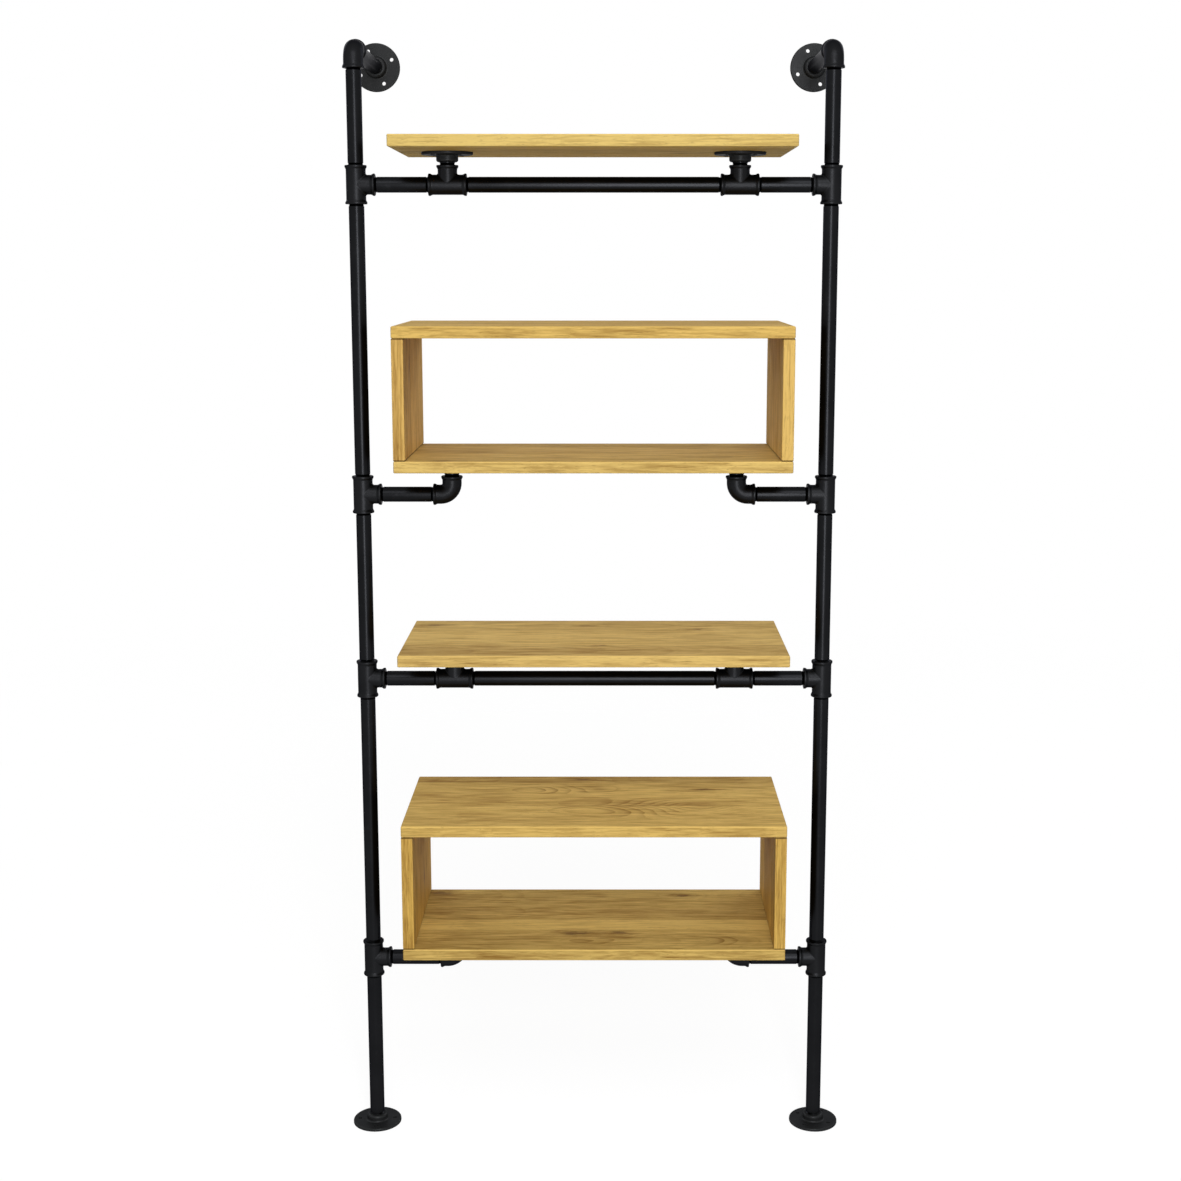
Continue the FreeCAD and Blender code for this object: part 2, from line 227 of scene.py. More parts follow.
class Finish:
    """One material, and short calls that wire its nodes."""

    def __init__(self, name):
        self.material = bpy.data.materials.new(name)
        self.material.use_nodes = True
        self.tree = self.material.node_tree
        self.tree.nodes.clear()

    def plug(self, socket, value):
        """Link another node's output to a socket, or set the socket's own value."""
        if isinstance(value, bpy.types.NodeSocket):
            self.tree.links.new(value, socket)
        else:
            socket.default_value = value

    def node(self, kind, inputs=None, **settings):
        """Add a node, with its settings and its inputs by name or number."""
        made = self.tree.nodes.new("ShaderNode" + kind)
        for key, value in settings.items():
            setattr(made, key, value)
        for key, value in (inputs or {}).items():
            self.plug(made.inputs[key], value)
        return made

    def math(self, operation, *values):
        """One step of arithmetic."""
        return self.node("Math", dict(enumerate(values)), operation=operation).outputs[0]

    def scaled(self, value, factor, offset=0.0):
        """A value times a factor plus an offset."""
        return self.math("MULTIPLY_ADD", value, factor, offset)

    def added(self, value, extra, factor, offset=0.0):
        """A value plus another that is scaled first."""
        return self.math("ADD", value, self.scaled(extra, factor, offset))

    def swayed(self, value, noise, reach):
        """A value pushed down or up by noise, over a whole reach."""
        return self.added(value, noise, reach, -reach / 2)

    def smooth(self, value, low, high):
        """Nought below low, one above high and an even curve between."""
        inputs = {"Value": value, "From Min": low, "From Max": high}
        return self.node("MapRange", inputs, interpolation_type="SMOOTHSTEP").outputs["Result"]

    def fading(self, value, low, high):
        """One below low, nought above high and an even curve between."""
        return self.math("SUBTRACT", 1.0, self.smooth(value, low, high))

    def position(self):
        """The point's place in the unit's frame, in metres."""
        return self.node("TexCoord").outputs["Object"]

    def split(self, vector):
        """The three parts of a vector."""
        return list(self.node("SeparateXYZ", {0: vector}).outputs)

    def join(self, *parts):
        """A vector of three parts."""
        return self.node("CombineXYZ", dict(enumerate(parts))).outputs[0]

    def noise(self, vector, scale=1.0, detail=2.0, roughness=0.5):
        """Cloudy noise from nought to one."""
        inputs = {"Vector": vector, "Scale": scale, "Detail": detail, "Roughness": roughness}
        return self.node("TexNoise", inputs).outputs["Fac"]

    def ramp(self, value, stops, interpolation="LINEAR"):
        """Colours along a value, from stops of a position and a colour."""
        made = self.node("ValToRGB", {"Fac": value})
        band = made.color_ramp
        band.interpolation = interpolation
        while len(band.elements) < len(stops):
            band.elements.new(1.0)
        for element, (place, colour) in zip(band.elements, stops):
            element.position = place
            element.color = (*colour, 1.0)
        return made.outputs["Color"]

    def blend(self, factor, first, second):
        """Two colours mixed by a factor."""
        made = self.node("Mix", {MIX_FACTOR: factor}, data_type="RGBA")
        for number, colour in ((MIX_FIRST, first), (MIX_SECOND, second)):
            linked = isinstance(colour, bpy.types.NodeSocket)
            self.plug(made.inputs[number], colour if linked else (*colour, 1.0))
        return made.outputs[MIX_RESULT]

    def bump(self, height, distance):
        """A normal bent by a height."""
        return self.node("Bump", {"Height": height, "Distance": distance, "Strength": 1.0}).outputs[0]

    def surface(self, **inputs):
        """The principled surface, with its inputs named with underscores for spaces."""
        named = {key.replace("_", " "): value for key, value in inputs.items()}
        named["Specular IOR Level"] = named.pop("Specular")
        made = self.node("BsdfPrincipled", named)
        self.finish(made.outputs[0])
        return self.material

    def finish(self, shader):
        """Wire a shader to the output."""
        self.node("OutputMaterial", {"Surface": shader})


def shade(colour, factor):
    """A colour made lighter or darker."""
    return tuple(min(1.0, part * factor) for part in colour)


# Black coatings lose about half of their shine towards their outlines
EDGE_TINT = (0.45, 0.45, 0.46, 1.0)

# The pipes' coat: detail of its dimples, its clouds, and the marks that hands have rubbed into it
PEEL_DETAIL = 1.0
PIPE_CLOUDS = Clouds(16.0, 4.0, 0.6)
PIPE_RUBS = Clouds(55.0, 5.0, 0.65)
# Noise levels at which a rub mark starts and is full, and how much of its colour shows
RUB_LEVELS = (0.56, 0.80)
RUB_SHARE = 0.30
# Its dark, light and rubbed colours, as shares of the plain one
PIPE_SHADES = (0.7, 1.35, 2.2)
# How much rougher the coat is in its clouds and rub marks
PIPE_CLOUD_ROUGHNESS = 0.08
RUB_ROUGHNESS = 0.06


def pipe_coating(look):
    """Satin black paint with a faint orange-peel skin and handling marks."""
    coat = Finish("pipe_satin_black")
    place = coat.position()
    dark, light, rubbed = [shade(look.colour, share) for share in PIPE_SHADES]
    peel = coat.noise(place, 1.0 / look.peel_size, PEEL_DETAIL)
    cloud = coat.noise(place, *PIPE_CLOUDS)
    rub = coat.smooth(coat.noise(place, *PIPE_RUBS), *RUB_LEVELS)
    colour = coat.blend(cloud, dark, light)
    colour = coat.blend(coat.scaled(rub, RUB_SHARE), colour, rubbed)
    roughness = coat.scaled(cloud, PIPE_CLOUD_ROUGHNESS, look.roughness)
    roughness = coat.added(roughness, rub, RUB_ROUGHNESS)
    return coat.surface(Base_Color=colour, Roughness=roughness, Metallic=look.sheen, Specular=0.0,
                        Specular_Tint=EDGE_TINT, Normal=coat.bump(peel, look.peel_depth))


# The cast skin: finer levels of its sand grains and their strength, its lumps and its clouds
SAND_DETAIL = 3.0
SAND_FINENESS = 0.6
CAST_LUMPS = Clouds(190.0, 3.0, 0.55)
CAST_CLOUDS = Clouds(30.0, 3.0, 0.6)
# Noise levels at which a grain's crest starts to lose its coat and has lost it
CREST_LEVELS = (0.58, 0.80)
# Its dark, light and crest colours, as shares of the plain one
CAST_SHADES = (0.75, 1.3, 1.7)
# How much rougher the grains are, and how high the lumps stand beside the grains
SAND_ROUGHNESS = 0.16
LUMP_HEIGHT_SHARE = 1.4


def cast_coating(look, name, base, sheen):
    """Black paint over sand-cast iron."""
    coat = Finish(name)
    place = coat.position()
    dark, light, crest = [shade(base, share) for share in CAST_SHADES]
    grains = coat.noise(place, 1.0 / look.grain_size, SAND_DETAIL, SAND_FINENESS)
    lumps = coat.noise(place, *CAST_LUMPS)
    colour = coat.blend(coat.noise(place, *CAST_CLOUDS), dark, light)
    colour = coat.blend(coat.smooth(grains, *CREST_LEVELS), colour, crest)
    roughness = coat.scaled(grains, SAND_ROUGHNESS, look.roughness)
    skin = coat.added(grains, lumps, LUMP_HEIGHT_SHARE)
    return coat.surface(Base_Color=colour, Roughness=roughness, Metallic=sheen, Specular=0.0,
                        Specular_Tint=EDGE_TINT, Normal=coat.bump(skin, look.grain_depth))


# The screws' oxide: its clouds, its dark and light colours, its least roughness, how much rougher
# its clouds are, and the share of its light that is mirrored
SCREW_CLOUDS = Clouds(320.0, 3.0, 0.6)
SCREW_SHADES = (0.8, 1.8)
SCREW_ROUGHNESS = 0.34
SCREW_CLOUD_ROUGHNESS = 0.2
SCREW_SHEEN = 0.5


def screw_coating(look):
    """Black oxide on steel."""
    coat = Finish("screw_black_oxide")
    dark, light = [shade(look.colour, share) for share in SCREW_SHADES]
    cloud = coat.noise(coat.position(), *SCREW_CLOUDS)
    roughness = coat.scaled(cloud, SCREW_CLOUD_ROUGHNESS, SCREW_ROUGHNESS)
    return coat.surface(Base_Color=coat.blend(cloud, dark, light), Roughness=roughness, Specular=0.0,
                        Metallic=SCREW_SHEEN, Specular_Tint=EDGE_TINT)


# How far apart in the tree a light and a dark stave lay
STAVE_SPACING = 31.0
# Bends of the grain to the metre, along and across the board, and how far they push it, in metres
BENDS_ALONG = 7.0
BENDS_ACROSS = 13.0
BEND_REACH = 0.022

# The heart of the tree: its least depth below the board, how much deeper it can be, and how far it
# swings up and down, in metres, with so many swings to the metre and so much finer swinging
HEART_LEAST_DEPTH = 0.035
HEART_DEPTH_RANGE = 0.16
HEART_SWING = 0.09
HEART_SWINGS = 2.1
HEART_SWING_DETAIL = 1.0
# Slow waves of the rings, quick ripples on them, and how far each pushes them, in metres
WAVES = Grain(5.0, 16.0)
WAVE_REACH = 0.016
RIPPLES = Grain(26.0, 120.0)
RIPPLE_REACH = 0.0018

# One year's growth, from the pale porous early wood to the dense late wood
RING_STOPS = ((0.0, 0.0), (0.45, 0.20), (0.78, 0.75), (0.90, 1.0), (1.0, 0.0))
# How much the years differ: noise from year to year, then its factor and offset
YEAR_NOISE_SCALE = 0.71
YEAR_STRENGTH = (1.2, 0.25)
# Where the late wood breaks up along a ring, the factor and offset of that, and how much of it a flame
# brings back
BREAKS = Grain(13.0, 70.0, 3.0, 0.6)
BREAK_STRENGTH = (1.5, -0.25)
FLAME_STRENGTH = 1.6

# Wide bands, streaks, fine fibres, dark veins and open pores, and the noise levels at which each
# starts and is full
BANDS = Grain(1.1, 11.0)
STREAKS = Grain(9.0, 60.0, 4.0, 0.66)
FIBRES = Grain(11.0, 300.0, 3.0)
VEINS = Grain(7.0, 150.0, 4.0, 0.62)
PORES = Grain(60.0, 1500.0, 1.0)
GRAIN_LEVELS = (0.30, 0.70)
VEIN_LEVELS = (0.54, 0.70)
PORE_LEVELS = (0.58, 0.72)
# The part of the year in which early wood ends, and the factor and offset of the pores by that
EARLY_WOOD = (0.05, 0.55)
PORES_BY_SEASON = (0.75, 0.25)

# A knot: its length is its width over its slimness, and its outline is torn by noise. The rest is in
# knot radii: how far it is torn, where the knot and the brown round it start to fade and are gone,
# how far away the rings still bend, and how far they are pushed out.
TORN_FIBRES = Grain(55.0, 210.0, 3.0, 0.65)
KNOT_SLIMNESS = 0.36
TORN_RADII = 4.0
KNOT_FADE_RADII = (0.35, 1.25)
HALO_FADE_RADII = (0.8, 3.4)
SWELL_REACH_RADII = 5.0
SWELL_RADII = 2.2

# How steeply the rings of a flame dip along the board, how round its arches are as a share of its
# half width, and the shares of its size at which it starts to fade and is gone
FLAME_SLOPE = 0.20
FLAME_ARCH_SHARE = 0.45
FLAME_FADE_SHARES = (0.35, 1.0)

# Half the width of a glue line, as a share of the board's depth
GLUE_LINE_SHARE = 0.0022
# How far the painted shade of a joint reaches along the board, and how far it is full, in metres
JOINT_SHADOW_WIDTH = 0.0032
JOINT_SHADOW_CORE = 0.0013
# How slanted a face is where the painted highlight on a rounded edge starts and is full
EDGE_HIGHLIGHT_SLANTS = (0.10, 0.40)
# How squarely a face looks along the grain where end grain starts and is full
END_FACINGS = (0.72, 0.96)

# How much each part of the figure darkens the wood. The staves' tones and the veins count from a start
# of their own.
TONE_START = 0.12
LATE_DARK = 0.32
BAND_DARK = 0.26
STREAK_DARK = 0.38
FIBRE_DARK = 0.50
VEIN_DARK = 0.36
VEIN_START = 0.065
HALO_DARK = 0.34
FLAME_DARK = 0.07
# How much of each layer's own colour shows, the painted highlight and painted shade among them
PORE_SHARE = 0.55
GLUE_SHARE = 0.30
KNOT_SHARE = 0.70
EDGE_HIGHLIGHT_SHARE = 0.60
JOINT_SHADOW_SHARE = 0.85
END_SHARE = 0.55
# Colours of the painted edge highlight and joint shade and of end grain: shares of early wood, knots and
# late wood
EDGE_HIGHLIGHT_SHADE = 1.15
JOINT_SHADOW_SHADE = 0.5
END_SHADE = 1.05
# How much rougher pores, end grain and streaks are, how high late wood stands beside the pores'
# depth, and how strong the oil's gloss is
PORE_ROUGHNESS = 0.22
END_ROUGHNESS = 0.18
STREAK_ROUGHNESS = 0.10
LATE_HEIGHT_SHARE = 0.16
OIL_GLOSS = 0.08


class OakBoard(Finish):
    """Oiled oak of one board, coloured by where each point lay in the log that its stave came from."""

    def __init__(self, look, node, grain_axis):
        super().__init__("oak_" + node)
        self.look = look
        self.figure = BOARDS[node]
        self.grain_axis = grain_axis
        self.thick_axis = X + Z - grain_axis
        self.low, self.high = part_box(node)
        self.depth = self.high[Y] - self.low[Y]
        parts = self.split(self.position())
        self.along, self.across = parts[grain_axis], parts[Y]
        self.rise = self.math("SUBTRACT", parts[self.thick_axis], self.low[self.thick_axis])
        self.share = self.math("DIVIDE", self.math("SUBTRACT", self.across, self.low[Y]), self.depth)
        self.tone, self.heart_share, self.heart_depth = self.staves()
        # Each stave comes from another stretch of the tree
        board_start = self.low[grain_axis] + self.low[self.thick_axis]
        self.seed = self.scaled(self.tone, STAVE_SPACING, board_start)
        along_log = self.math("ADD", self.along, self.seed)
        bend_along = self.scaled(along_log, BENDS_ALONG)
        bend_across = self.scaled(self.across, BENDS_ACROSS)
        bend = self.noise(self.join(bend_along, bend_across, self.seed))
        across_log = self.swayed(self.across, bend, BEND_REACH)
        self.log_place = self.join(along_log, across_log, self.rise)

    def staves(self):
        """Tone, place of the heart and depth of the heart, constant across each glued stave."""
        starts = [0.0] + [stave[0] for stave in self.figure["staves"]]
        stops = [(start, stave[1:]) for start, stave in zip(starts, self.figure["staves"])]
        return self.split(self.ramp(self.share, stops, "CONSTANT"))

    def drawn_out(self, grain):
        """Noise drawn out along the grain."""
        stretch = (grain.along, grain.across, grain.across)
        vector = self.node("VectorMath", {0: self.log_place, 1: stretch}, operation="MULTIPLY").outputs[0]
        return self.noise(vector, detail=grain.detail, roughness=grain.roughness)

    def layer(self, grain, levels):
        """One where a layer of the grain is full, and nought where there is none of it."""
        return self.smooth(self.drawn_out(grain), *levels)

    def distance(self, first, second):
        """Straight distance over two square sides."""
        squares = [self.math("MULTIPLY", side, side) for side in (first, second)]
        return self.math("SQRT", self.math("ADD", *squares))

    def heart_distance(self):
        """Distance from the heart of the tree, which wanders along the board."""
        swings = self.join(self.scaled(self.along, HEART_SWINGS), self.seed, 0.0)
        sweep = self.noise(swings, detail=HEART_SWING_DETAIL)
        heart = self.scaled(self.heart_share, self.depth, self.low[Y])
        beside = self.math("SUBTRACT", self.across, heart)
        beside = self.swayed(beside, self.drawn_out(WAVES), WAVE_REACH)
        below = self.scaled(self.heart_depth, HEART_DEPTH_RANGE, HEART_LEAST_DEPTH)
        below = self.swayed(below, sweep, HEART_SWING)
        return self.distance(beside, self.math("ADD", below, self.rise))

    def from_spot(self, along_share, across_share):
        """Distances along and across the board from a spot on it."""
        axis = self.grain_axis
        centre = self.low[axis] + along_share * (self.high[axis] - self.low[axis])
        run = self.math("SUBTRACT", self.along, centre)
        return run, self.math("SUBTRACT", self.across, self.low[Y] + across_share * self.depth)

    def knots(self, radius):
        """How far each point lies inside a knot, the brown round it, and the rings pushed out by it."""
        inside_any, halo_any = 0.0, 0.0
        torn = self.drawn_out(TORN_FIBRES)
        for along_share, across_share, size in self.figure["knots"]:
            run, side = self.from_spot(along_share, across_share)
            away = self.distance(self.scaled(run, KNOT_SLIMNESS), side)
            ragged = self.swayed(away, torn, size * TORN_RADII)
            inside = self.fading(ragged, *[size * radii for radii in KNOT_FADE_RADII])
            inside_any = self.math("MAXIMUM", inside_any, inside)
            halo = self.fading(ragged, *[size * radii for radii in HALO_FADE_RADII])
            halo_any = self.math("MAXIMUM", halo_any, halo)
            swell = self.fading(away, 0.0, size * SWELL_REACH_RADII)
            radius = self.added(radius, swell, size * SWELL_RADII)
        return inside_any, halo_any, radius

    def flames(self, radius):
        """How far each point lies inside a flame, and the rings, which cross the face there as arches."""
        inside_any = 0.0
        for along_share, across_share, length, width in self.figure.get("flames", ()):
            run, side = self.from_spot(along_share, across_share)
            away = self.distance(self.scaled(run, 1.0 / length), self.scaled(side, 1.0 / width))
            inside = self.fading(away, *FLAME_FADE_SHARES)
            arch_radius = width * FLAME_ARCH_SHARE
            arch = self.math("MULTIPLY", side, self.scaled(side, 1.0 / (2.0 * arch_radius)))
            dip = self.scaled(self.math("ADD", run, arch), FLAME_SLOPE)
            radius = self.math("ADD", radius, self.math("MULTIPLY", dip, inside))
            inside_any = self.math("MAXIMUM", inside_any, inside)
        return inside_any, radius

    def years(self, radius, flame):
        """How far through its year each point grew, and how much late wood shows there."""
        radius = self.added(radius, self.drawn_out(RIPPLES), RIPPLE_REACH)
        rings = self.math("DIVIDE", radius, self.look.ring_width)
        year = self.math("FRACT", rings)
        late = self.ramp(year, [(place, (level,) * 3) for place, level in RING_STOPS])
        each_year = self.join(self.math("FLOOR", rings), self.seed, 0.0)
        strength = self.noise(each_year, YEAR_NOISE_SCALE, detail=0.0)
        late = self.math("MULTIPLY", late, self.scaled(strength, *YEAR_STRENGTH))
        shown = self.scaled(self.drawn_out(BREAKS), *BREAK_STRENGTH)
        shown = self.added(shown, flame, FLAME_STRENGTH)
        return year, self.math("MULTIPLY", late, shown)

    def open_pores(self, year):
        """One in the open pores, most of which lie in the early wood."""
        early = self.scaled(self.fading(year, *EARLY_WOOD), *PORES_BY_SEASON)
        return self.math("MULTIPLY", self.layer(PORES, PORE_LEVELS), early)

    def glue_lines(self):
        """One on the thin joints between the staves."""
        lines = 0.0
        for stave in self.figure["staves"][:-1]:
            away = self.math("ABSOLUTE", self.math("SUBTRACT", self.share, stave[0]))
            lines = self.math("MAXIMUM", lines, self.fading(away, 0.0, GLUE_LINE_SHARE))
        return lines

    def joints(self):
        """One at the two ends of the board, where shade is painted into its joints with the next boards.
        """
        axis = self.grain_axis
        middle = (self.low[axis] + self.high[axis]) / 2
        half = (self.high[axis] - self.low[axis]) / 2
        away = self.math("ABSOLUTE", self.math("SUBTRACT", self.along, middle))
        return self.smooth(away, half - JOINT_SHADOW_WIDTH, half - JOINT_SHADOW_CORE)

    def painted_edge_highlight(self):
        """One on the rounded long edges, where a highlight is painted in as paler wood."""
        parts = self.split(self.node("NewGeometry").outputs["True Normal"])
        slant = self.math("MULTIPLY", parts[Y], parts[self.thick_axis])
        return self.smooth(self.math("ABSOLUTE", slant), *EDGE_HIGHLIGHT_SLANTS)

    def end_grain(self):
        """One on the sawn ends of the board."""
        facing = self.split(self.node("NewGeometry").outputs["Normal"])[self.grain_axis]
        return self.smooth(self.math("ABSOLUTE", facing), *END_FACINGS)

    def darkness(self, late, streak, halo, flame):
        """How dark the wood is, from early wood at nought to late wood at one."""
        amount = self.math("SUBTRACT", self.tone, TONE_START)
        amount = self.added(amount, late, LATE_DARK)
        amount = self.swayed(amount, self.layer(BANDS, GRAIN_LEVELS), BAND_DARK)
        amount = self.swayed(amount, streak, STREAK_DARK)
        amount = self.swayed(amount, self.layer(FIBRES, GRAIN_LEVELS), FIBRE_DARK)
        amount = self.added(amount, self.layer(VEINS, VEIN_LEVELS), VEIN_DARK, -VEIN_START)
        amount = self.added(amount, halo, HALO_DARK)
        return self.added(amount, flame, FLAME_DARK)

    def tinted(self, colour):
        """A colour of the oak in this board's own tint."""
        return tuple(min(1.0, part * share) for part, share in zip(colour, self.figure["tint"]))

    def coloured(self, amount, pores, knot, end):
        """The wood's colour by its darkness, its marks, a painted edge highlight and painted shade in
        joints.
        """
        look = self.look
        layers = [
            (pores, PORE_SHARE, look.pore),
            (self.glue_lines(), GLUE_SHARE, look.pore),
            (knot, KNOT_SHARE, look.knot),
            # Painted highlight on the rounded long edges
            (self.painted_edge_highlight(), EDGE_HIGHLIGHT_SHARE, self.tinted(shade(look.light, EDGE_HIGHLIGHT_SHADE))),
        ]
        # The box sides meet the boards above and below them, and shade is painted into those joints
        if self.grain_axis == Z:
            layers.append((self.joints(), JOINT_SHADOW_SHARE, shade(look.knot, JOINT_SHADOW_SHADE)))
        layers.append((end, END_SHARE, shade(look.dark, END_SHADE)))
        colour = self.blend(amount, self.tinted(look.light), self.tinted(look.dark))
        for where, share, own_colour in layers:
            colour = self.blend(self.scaled(where, share), colour, own_colour)
        return colour

    def made(self):
        """The finished material."""
        knot, halo, radius = self.knots(self.heart_distance())
        flame, radius = self.flames(radius)
        year, late = self.years(radius, flame)
        streak = self.layer(STREAKS, GRAIN_LEVELS)
        pores = self.open_pores(year)
        end = self.end_grain()
        colour = self.coloured(self.darkness(late, streak, halo, flame), pores, knot, end)
        roughness = self.scaled(pores, PORE_ROUGHNESS, self.look.roughness)
        roughness = self.added(roughness, end, END_ROUGHNESS)
        roughness = self.added(roughness, streak, STREAK_ROUGHNESS)
        relief = self.math("SUBTRACT", self.scaled(late, LATE_HEIGHT_SHARE), pores)
        return self.surface(Base_Color=colour, Roughness=roughness, Specular=OIL_GLOSS,
                            Normal=self.bump(relief, self.look.pore_depth))


# The dowels' beech: flecks to the metre across and along it, the noise levels at which a fleck starts
# and is full, its colours as shares of the oak's early and late wood, its least roughness, how much
# rougher its flecks are, its gloss, and its relief as a share of the oak's
FLECKS_ACROSS = 900.0
FLECKS_ALONG = 90.0
FLECK_LEVELS = (0.45, 0.75)
BEECH_SHADE = 1.05
FLECK_SHADE = 1.3
BEECH_ROUGHNESS = 0.5
FLECK_ROUGHNESS = 0.2
BEECH_GLOSS = 0.3
FLECK_DEPTH_SHARE = 0.5


def beech(look):
    """Plain beech of the dowels, with short flecks."""
    wood = Finish("dowel_beech")
    stretch = (FLECKS_ACROSS, FLECKS_ACROSS, FLECKS_ALONG)
    parts = [wood.scaled(part, count) for part, count in zip(wood.split(wood.position()), stretch)]
    flecks = wood.noise(wood.join(*parts))
    plain_colour, fleck_colour = shade(look.light, BEECH_SHADE), shade(look.dark, FLECK_SHADE)
    colour = wood.blend(wood.smooth(flecks, *FLECK_LEVELS), plain_colour, fleck_colour)
    roughness = wood.scaled(flecks, FLECK_ROUGHNESS, BEECH_ROUGHNESS)
    return wood.surface(Base_Color=colour, Roughness=roughness, Specular=BEECH_GLOSS,
                        Normal=wood.bump(flecks, look.pore_depth * FLECK_DEPTH_SHARE))


def dress(names, material):
    """Give nodes one material."""
    for name in names:
        slots = NODES[name].data.materials
        slots.clear()
        slots.append(material)


def nodes_ending(*endings):
    """Names of the nodes that end in any of the given words."""
    found = sorted(name for name in NODES if name.endswith(endings))
    if not found:
        raise RuntimeError("no node is named for " + ", ".join(endings))
    return found


def look_of(context):
    """The dresser's settings in a scene."""
    return context.scene.shelving_look


class SHELVING_OT_pipes(bpy.types.Operator):
    """Coat the pipes and the riser nipples in satin black"""
    bl_idname = "shelving.pipes"
    bl_label = "Coat Pipes"

    def execute(self, context):
        dress(nodes_ending("_pipe", "_nipples"), pipe_coating(look_of(context).pipe))
        return {"FINISHED"}


class SHELVING_OT_fittings(bpy.types.Operator):
    """Coat the tees and elbows in black over the cast skin"""
    bl_idname = "shelving.fittings"
    bl_label = "Coat Fittings"

    def execute(self, context):
        look = look_of(context).fitting
        coat = cast_coating(look, "fitting_cast_black", look.colour, look.sheen)
        dress(nodes_ending("_tee", "_elbow"), coat)
        return {"FINISHED"}


class SHELVING_OT_flanges(bpy.types.Operator):
    """Coat the flanges in a paler, duller black over the cast skin"""
    bl_idname = "shelving.flanges"
    bl_label = "Coat Flanges"

    def execute(self, context):
        look = look_of(context).fitting
        coat = cast_coating(look, "flange_cast_black", look.flange_colour, look.flange_sheen)
        dress(nodes_ending("_flange", "_flanges"), coat)
        return {"FINISHED"}


class SHELVING_OT_screws(bpy.types.Operator):
    """Blacken the wood screws under the boards"""
    bl_idname = "shelving.screws"
    bl_label = "Blacken Screws"

    def execute(self, context):
        dress(nodes_ending("_screws"), screw_coating(look_of(context).fitting))
        return {"FINISHED"}


class SHELVING_OT_boards(bpy.types.Operator):
    """Finish the shelves and the boxes' top and bottom boards as oak with its grain along the length"""
    bl_idname = "shelving.boards"
    bl_label = "Oil Boards"

    def execute(self, context):
        for name in nodes_ending("_board"):
            dress([name], OakBoard(look_of(context).oak, name, X).made())
        return {"FINISHED"}


class SHELVING_OT_sides(bpy.types.Operator):
    """Finish the boxes' sides as oak with its grain upright"""
    bl_idname = "shelving.sides"
    bl_label = "Oil Box Sides"

    def execute(self, context):
        for name in nodes_ending("_side"):
            dress([name], OakBoard(look_of(context).oak, name, Z).made())
        return {"FINISHED"}


class SHELVING_OT_dowels(bpy.types.Operator):
    """Finish the dowels as plain beech"""
    bl_idname = "shelving.dowels"
    bl_label = "Finish Dowels"

    def execute(self, context):
        dress(nodes_ending("_dowels"), beech(look_of(context).oak))
        return {"FINISHED"}


# Where the soft lights stand. The back one is set up twice, at the left and at the right.
KEY_LAMP = Lamp((0.2, -3.3, 4.1), (0.0, 0.0, 1.1), 2.6, 2.0)
FRONT_LAMP = Lamp((0.3, -3.75, 1.25), (0.0, 0.0, 1.1), 0.75, 2.4)
BACK_LAMP = Lamp((2.9, 2.9, 3.0), (0.0, 0.0, 1.0), 1.8, 2.4)

# The floor: sides of its outline, how far it lies under the feet, in metres, how rough it is, how much
# it glows to the camera, and the shares of its radius at which it starts to fade and is gone
FLOOR_SIDES = 96
FLOOR_DROP = 0.0004
FLOOR_ROUGHNESS = 0.6
FLOOR_GLOW = 0.89
FLOOR_FADE_SHARES = (0.2, 0.55)

# Heights in the surround, from -1 straight down to 1 straight up, between which its light grows
SKY_BAND = (-0.2, 0.9)


def background_rays(finish):
    """One for rays that see the background: from the camera, or by way of gloss or glass."""
    path = finish.node("LightPath").outputs
    seen = finish.math("MAXIMUM", path["Is Camera Ray"], path["Is Glossy Ray"])
    return finish.math("MAXIMUM", seen, path["Is Transmission Ray"])


def pale_floor(look):
    """Floor that reads as white to the camera and still takes the unit's shadow."""
    paint = Finish("pale_floor")
    base = {"Color": (*look.floor_colour, 1.0), "Roughness": FLOOR_ROUGHNESS}
    matt = paint.node("BsdfDiffuse", base).outputs[0]
    strength = paint.scaled(background_rays(paint), FLOOR_GLOW)
    glow = paint.node("Emission", {"Color": WHITE, "Strength": strength}).outputs[0]
    lit = paint.node("AddShader", {0: matt, 1: glow}).outputs[0]
    clear = paint.node("BsdfTransparent").outputs[0]
    away = paint.node("VectorMath", {0: paint.position()}, operation="LENGTH").outputs["Value"]
    fade = paint.smooth(away, *[look.floor_radius * share for share in FLOOR_FADE_SHARES])
    paint.finish(paint.node("MixShader", {0: fade, 1: lit, 2: clear}).outputs[0])
    return paint.material


class WorldFinish(Finish):
    """The world's nodes, wired by the same calls."""

    def __init__(self, name):
        self.world = bpy.data.worlds.new(name)
        self.world.use_nodes = True
        self.tree = self.world.node_tree
        self.tree.nodes.clear()

    def finish(self, shader):
        """Wire a shader to the world's output."""
        self.node("OutputWorld", {"Surface": shader})


def studio_world(look):
    """White surround for the camera, with softer light from it on the object."""
    room = WorldFinish("studio_room")
    height = room.split(room.node("TexCoord").outputs["Generated"])[Z]
    level = room.smooth(height, *SKY_BAND)
    light = room.scaled(level, look.sky_light - look.low_light, look.low_light)
    seen = background_rays(room)
    unseen = room.math("SUBTRACT", 1.0, seen)
    strength = room.math("ADD", room.math("MULTIPLY", light, unseen), seen)
    room.finish(room.node("Background", {"Color": WHITE, "Strength": strength}).outputs[0])
    return room.world


def soft_light(name, lamp, power):
    """Rectangular area light aimed at its target."""
    area = bpy.data.lights.new(name, "AREA")
    area.shape = "RECTANGLE"
    area.size = lamp.width
    area.size_y = lamp.height
    area.energy = power
    holder = bpy.data.objects.new(name, area)
    holder.location = lamp.place
    aim = Vector(lamp.target) - Vector(lamp.place)
    holder.rotation_euler = aim.to_track_quat("-Z", "Y").to_euler()
    bpy.context.scene.collection.objects.link(holder)


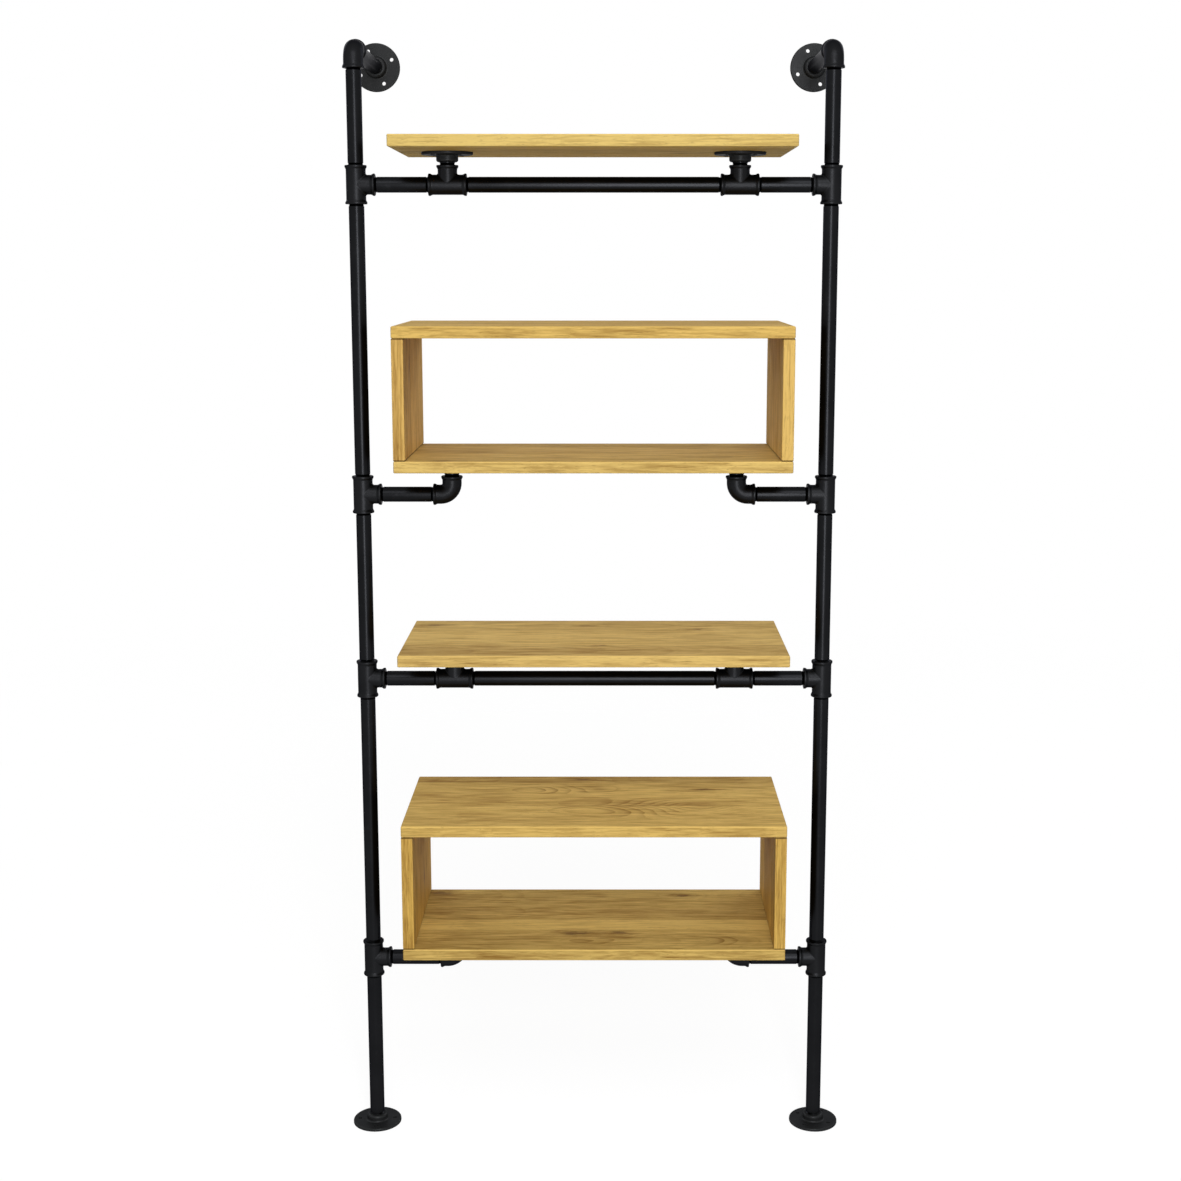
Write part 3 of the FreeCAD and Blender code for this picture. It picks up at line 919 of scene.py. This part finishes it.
def floor_disc(radius):
    """Round floor mesh just under the unit's feet."""
    turns = [math.tau * step / FLOOR_SIDES for step in range(FLOOR_SIDES)]
    points = [(radius * math.cos(turn), radius * math.sin(turn), 0.0) for turn in turns]
    mesh = bpy.data.meshes.new("floor")
    mesh.from_pydata(points, [], [list(range(FLOOR_SIDES))])
    disc = bpy.data.objects.new("floor", mesh)
    disc.location.z = -FLOOR_DROP
    bpy.context.scene.collection.objects.link(disc)
    return disc


def studio_camera(look, post_y):
    """Camera close to the photograph's viewpoint."""
    lens = bpy.data.cameras.new("camera")
    lens.sensor_width = SENSOR_WIDTH
    lens.lens = look.focal_pixels * SENSOR_WIDTH / IMAGE_SIDE
    lens.shift_x = look.shift_x
    lens.shift_y = look.shift_y
    holder = bpy.data.objects.new("camera", lens)
    holder.location = (look.camera_side, post_y - look.camera_distance, look.camera_height)
    holder.rotation_euler = (math.pi / 2 - look.camera_pitch, 0.0, 0.0)
    bpy.context.scene.collection.objects.link(holder)
    bpy.context.scene.camera = holder


class SHELVING_OT_studio(bpy.types.Operator):
    """Set up the floor, the surround, the lights and the camera"""
    bl_idname = "shelving.studio"
    bl_label = "Set Up Studio"

    def execute(self, context):
        look = look_of(context).studio
        low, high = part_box("left_foot_pipe")
        post_y = (low[Y] + high[Y]) / 2
        disc = floor_disc(look.floor_radius)
        disc.data.materials.append(pale_floor(look))
        context.scene.world = studio_world(look)
        soft_light("key_light", KEY_LAMP, look.key_power)
        soft_light("front_light", FRONT_LAMP, look.front_power)
        corner_x, corner_y, corner_z = BACK_LAMP.place
        for name, side in (("left_back_light", -1), ("right_back_light", 1)):
            lamp = BACK_LAMP._replace(place=(side * corner_x, corner_y, corner_z))
            soft_light(name, lamp, look.back_power)
        studio_camera(look, post_y)
        context.scene.view_settings.view_transform = "Standard"
        return {"FINISHED"}


STEPS = (
    SHELVING_OT_pipes,
    SHELVING_OT_fittings,
    SHELVING_OT_flanges,
    SHELVING_OT_screws,
    SHELVING_OT_boards,
    SHELVING_OT_sides,
    SHELVING_OT_dowels,
    SHELVING_OT_studio,
)


class SHELVING_PT_dresser(bpy.types.Panel):
    """Lists the dresser's steps"""
    bl_idname = "SHELVING_PT_dresser"
    bl_label = "Pipe Shelving"
    bl_space_type = "VIEW_3D"
    bl_region_type = "UI"
    bl_category = "Shelving"

    def draw(self, context):
        for step in STEPS:
            self.layout.operator(step.bl_idname)


CLASSES = (PipeFinish, FittingFinish, OakFinish, StudioLook, ShelvingLook, *STEPS, SHELVING_PT_dresser)


def register():
    """Add the dresser's classes and its settings."""
    for each in CLASSES:
        bpy.utils.register_class(each)
    bpy.types.Scene.shelving_look = PointerProperty(type=ShelvingLook)


def unregister():
    """Take the dresser's settings and classes away again."""
    del bpy.types.Scene.shelving_look
    for each in reversed(CLASSES):
        bpy.utils.unregister_class(each)


def main():
    """Dress the unit step by step."""
    register()
    bpy.ops.shelving.pipes()
    bpy.ops.shelving.fittings()
    bpy.ops.shelving.flanges()
    bpy.ops.shelving.screws()
    bpy.ops.shelving.boards()
    bpy.ops.shelving.sides()
    bpy.ops.shelving.dowels()
    bpy.ops.shelving.studio()


if __name__ == "__main__":
    main()
